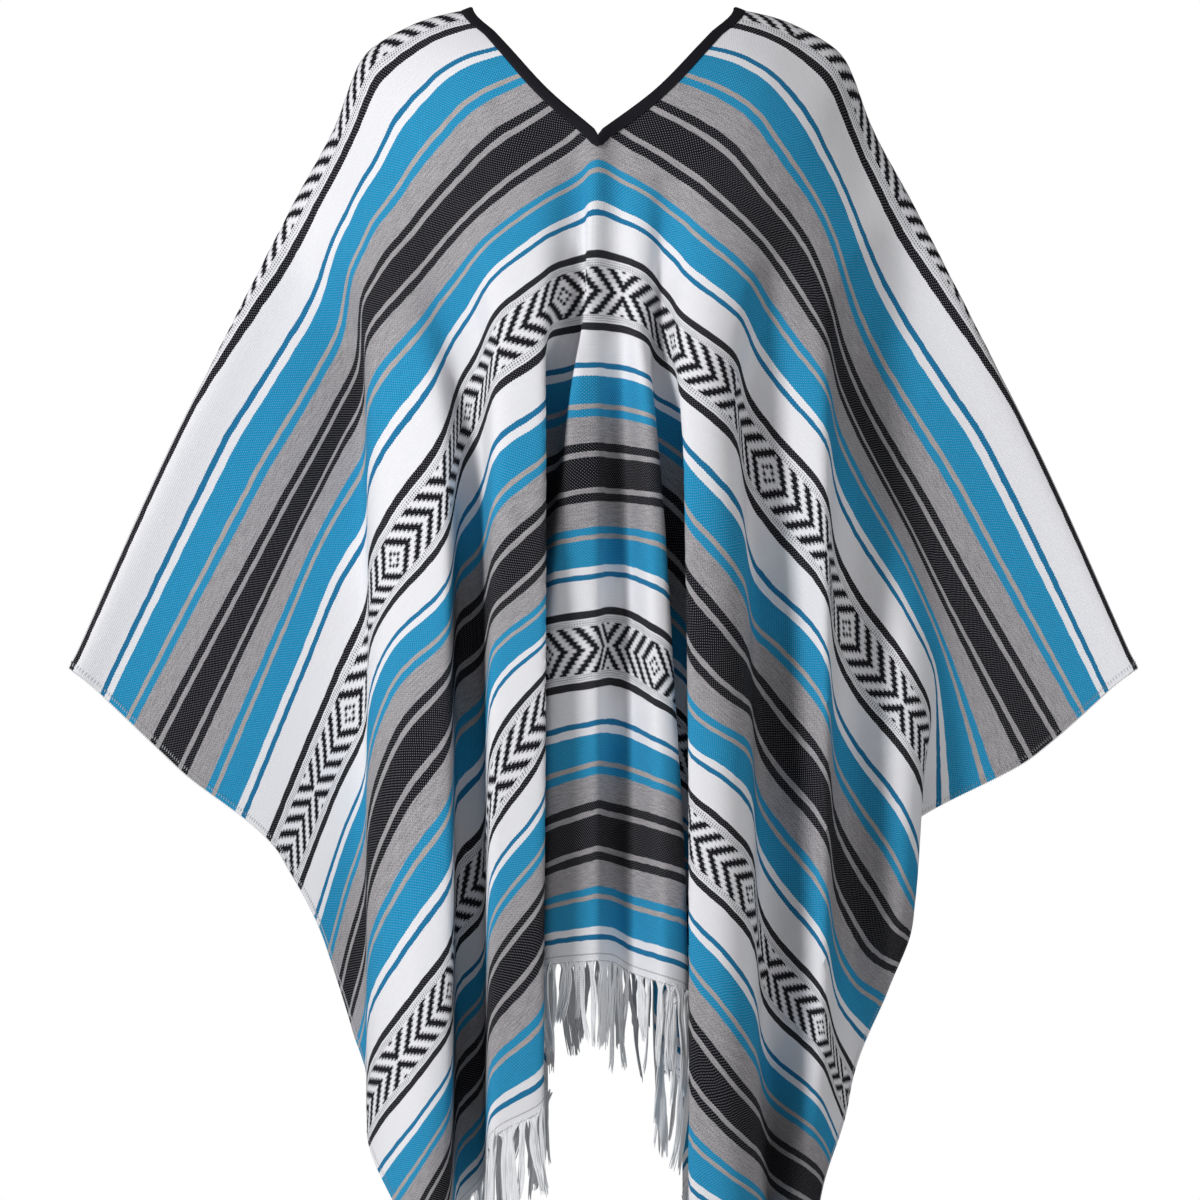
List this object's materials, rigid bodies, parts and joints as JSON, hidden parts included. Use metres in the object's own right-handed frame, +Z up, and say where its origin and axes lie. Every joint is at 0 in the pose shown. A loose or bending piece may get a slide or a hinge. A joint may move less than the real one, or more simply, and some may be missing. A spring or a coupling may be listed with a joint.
{
  "type": "poncho",
  "caption": "Worn-shape mexican blanket poncho, V neck, striped and diamond-banded cloth in deep folds, open sides and fringed hems, held at the shoulders.",
  "frame": {"origin": "the point midway between the tops of the shoulders at the neck opening, where the poncho is held", "axes": "+Z up, -Y towards the front, +X towards the wearer's left"},
  "size_m": [0.9608, 0.443, 1.3586],
  "materials": {
    "woven_cloth": "woven acrylic blanket cloth, white, blue, grey and black bands, matte and slightly fuzzy",
    "binding": "black woven binding tape, matte",
    "fringe": "twisted loose warp yarns, matte"
  },
  "bodies": {
    "root": {"cloth": "woven_cloth", "neck_binding": "binding", "fringe_front": "fringe", "fringe_back": "fringe"}
  },
  "joints": []
}
